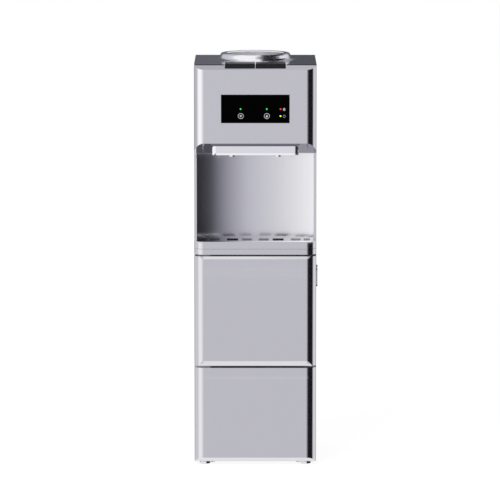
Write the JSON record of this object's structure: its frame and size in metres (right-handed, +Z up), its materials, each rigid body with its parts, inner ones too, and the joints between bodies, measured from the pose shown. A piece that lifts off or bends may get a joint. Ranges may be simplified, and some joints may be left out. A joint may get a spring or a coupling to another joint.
{
  "type": "water dispenser",
  "caption": "Floor-standing water dispenser with a bottle collar on top, push keys, a tap niche with a drip tray, a hinged cabinet door and a lower panel.",
  "frame": {"origin": "on the floor, in the middle of the footprint", "axes": "+X to the right seen from the front, +Y to the back, +Z up"},
  "size_m": [0.313, 0.3422, 1.041],
  "materials": {
    "silver_shell": "metallic silver paint, glossy",
    "niche_satin": "metallic silver paint, satin",
    "side_sheet": "silver painted sheet steel, satin",
    "rear_sheet": "grey coated sheet steel",
    "zinc_sheet": "zinc plated sheet",
    "screw_steel": "zinc plated steel",
    "collar_chrome": "polished chrome",
    "black_glass": "black back-printed glass, polished",
    "led_lens": "clear light pipe",
    "board": "green circuit board",
    "key_black": "black plastic, semi-gloss",
    "tap_silver": "silver lacquered plastic",
    "nozzle_plastic": "chromed plastic",
    "valve_plastic": "white moulded plastic",
    "spring_steel": "spring steel",
    "liner_white": "white plastic",
    "gasket": "soft light grey seal",
    "grip": "dark grey plastic",
    "foam": "rigid foam",
    "shelf_glass": "clear toughened glass",
    "tank_steel": "stainless steel",
    "copper": "copper tube",
    "hose": "food grade silicone",
    "compressor_black": "black enamel",
    "rubber_black": "black rubber",
    "condenser_black": "black lacquered steel",
    "switch_black": "black plastic",
    "rocker_green": "green plastic",
    "rocker_red": "red plastic",
    "drain_plastic": "white plastic",
    "foot_metal": "bright plated steel"
  },
  "bodies": {
    "frame": {"base_pan": "zinc_sheet", "left_side_panel": "side_sheet", "right_side_panel": "side_sheet", "rear_panel": "rear_sheet", "panel_screws": "screw_steel", "cross_rails": "zinc_sheet", "upper_front_housing": "silver_shell", "top_cover": "silver_shell", "bottle_collar": "collar_chrome", "bottle_funnel": "liner_white", "feed_spike": "liner_white", "control_glass": "black_glass", "status_leds": "led_lens", "display_board": "board", "tap_bar": "tap_silver", "cold_nozzle": "nozzle_plastic", "hot_nozzle": "nozzle_plastic", "cold_tap_valve": "valve_plastic", "hot_tap_valve": "valve_plastic", "cold_key_spring": "spring_steel", "hot_key_spring": "spring_steel", "key_pivot_shaft": "screw_steel", "niche_liner": "niche_satin", "tray_fascia": "silver_shell", "lower_front_panel": "silver_shell", "hinge_brackets": "zinc_sheet", "cabinet_liner": "liner_white", "cabinet_insulation": "foam", "cabinet_shelf": "shelf_glass", "tank_shelf": "zinc_sheet", "cold_tank": "tank_steel", "cold_tank_insulation": "foam", "evaporator_coil": "copper", "hot_tank": "tank_steel", "cold_hose": "hose", "hot_hose": "hose", "feed_hose": "hose", "compressor": "compressor_black", "compressor_mounts": "rubber_black", "condenser_tube": "condenser_black", "condenser_wires": "condenser_black", "rear_switch_frame": "switch_black", "mains_inlet": "switch_black", "drain_outlet": "drain_plastic", "rear_feet": "foot_metal"},
    "door": {"door_shell": "silver_shell", "door_liner": "liner_white", "door_gasket": "gasket", "door_grip": "grip"},
    "cold_key": {"cold_key": "key_black"},
    "hot_key": {"hot_key": "key_black"},
    "cold_plunger": {"cold_valve_plunger": "screw_steel"},
    "hot_plunger": {"hot_valve_plunger": "screw_steel"},
    "tray": {"drip_tray": "silver_shell"},
    "grille": {"drip_grille": "silver_shell"},
    "left_foot": {"left_front_foot": "foot_metal"},
    "right_foot": {"right_front_foot": "foot_metal"},
    "drain_cap": {"drain_cap": "drain_plastic"},
    "cooling_rocker": {"cooling_rocker": "rocker_green"},
    "heating_rocker": {"heating_rocker": "rocker_red"}
  },
  "joints": [
    {"name": "door_hinge", "type": "hinge", "parent": "frame", "child": "door", "pos_m": [-0.13, -0.1458, 0.4], "axis": [0, 0, -1], "range_deg": [0, 110]},
    {"name": "cold_key_press", "type": "hinge", "parent": "frame", "child": "cold_key", "pos_m": [-0.03885, -0.1188, 1.01], "axis": [1, 0, 0], "range_deg": [0, 6], "stiffness_Nm_per_rad": 2, "springref_deg": -5.73, "deforming": ["cold_key_spring"]},
    {"name": "cold_plunger_slide", "type": "slide", "parent": "frame", "child": "cold_plunger", "axis": [0, 0, -1], "range_m": [0, 0.0035]},
    {"name": "hot_key_press", "type": "hinge", "parent": "frame", "child": "hot_key", "pos_m": [0.03885, -0.1188, 1.01], "axis": [1, 0, 0], "range_deg": [0, 6], "stiffness_Nm_per_rad": 2, "springref_deg": -5.73, "deforming": ["hot_key_spring"]},
    {"name": "hot_plunger_slide", "type": "slide", "parent": "frame", "child": "hot_plunger", "axis": [0, 0, -1], "range_m": [0, 0.0035]},
    {"name": "tray_slide", "type": "slide", "parent": "frame", "child": "tray", "axis": [0, -1, 0], "range_m": [0, 0.1]},
    {"name": "grille_lift", "type": "slide", "parent": "tray", "child": "grille", "axis": [0, 0, 1], "range_m": [0, 0.04]},
    {"name": "left_foot_turn", "type": "hinge", "parent": "frame", "child": "left_foot", "pos_m": [-0.1285, -0.1288, 0.01], "axis": [0, 0, 1], "continuous": true},
    {"name": "right_foot_turn", "type": "hinge", "parent": "frame", "child": "right_foot", "pos_m": [0.1285, -0.1288, 0.01], "axis": [0, 0, 1], "continuous": true},
    {"name": "drain_cap_turn", "type": "hinge", "parent": "frame", "child": "drain_cap", "pos_m": [0, 0.1652, 0.285], "axis": [0, 1, 0], "continuous": true},
    {"name": "cooling_rocker_tilt", "type": "hinge", "parent": "frame", "child": "cooling_rocker", "pos_m": [0.067, 0.1582, 0.285], "axis": [1, 0, 0], "range_deg": [0, 18]},
    {"name": "heating_rocker_tilt", "type": "hinge", "parent": "frame", "child": "heating_rocker", "pos_m": [0.093, 0.1582, 0.285], "axis": [1, 0, 0], "range_deg": [0, 18]}
  ],
  "couplings": [
    {"joint": "cold_plunger_slide", "follows": "cold_key_press", "m_per_rad": 0.028},
    {"joint": "hot_plunger_slide", "follows": "hot_key_press", "m_per_rad": 0.028}
  ]
}
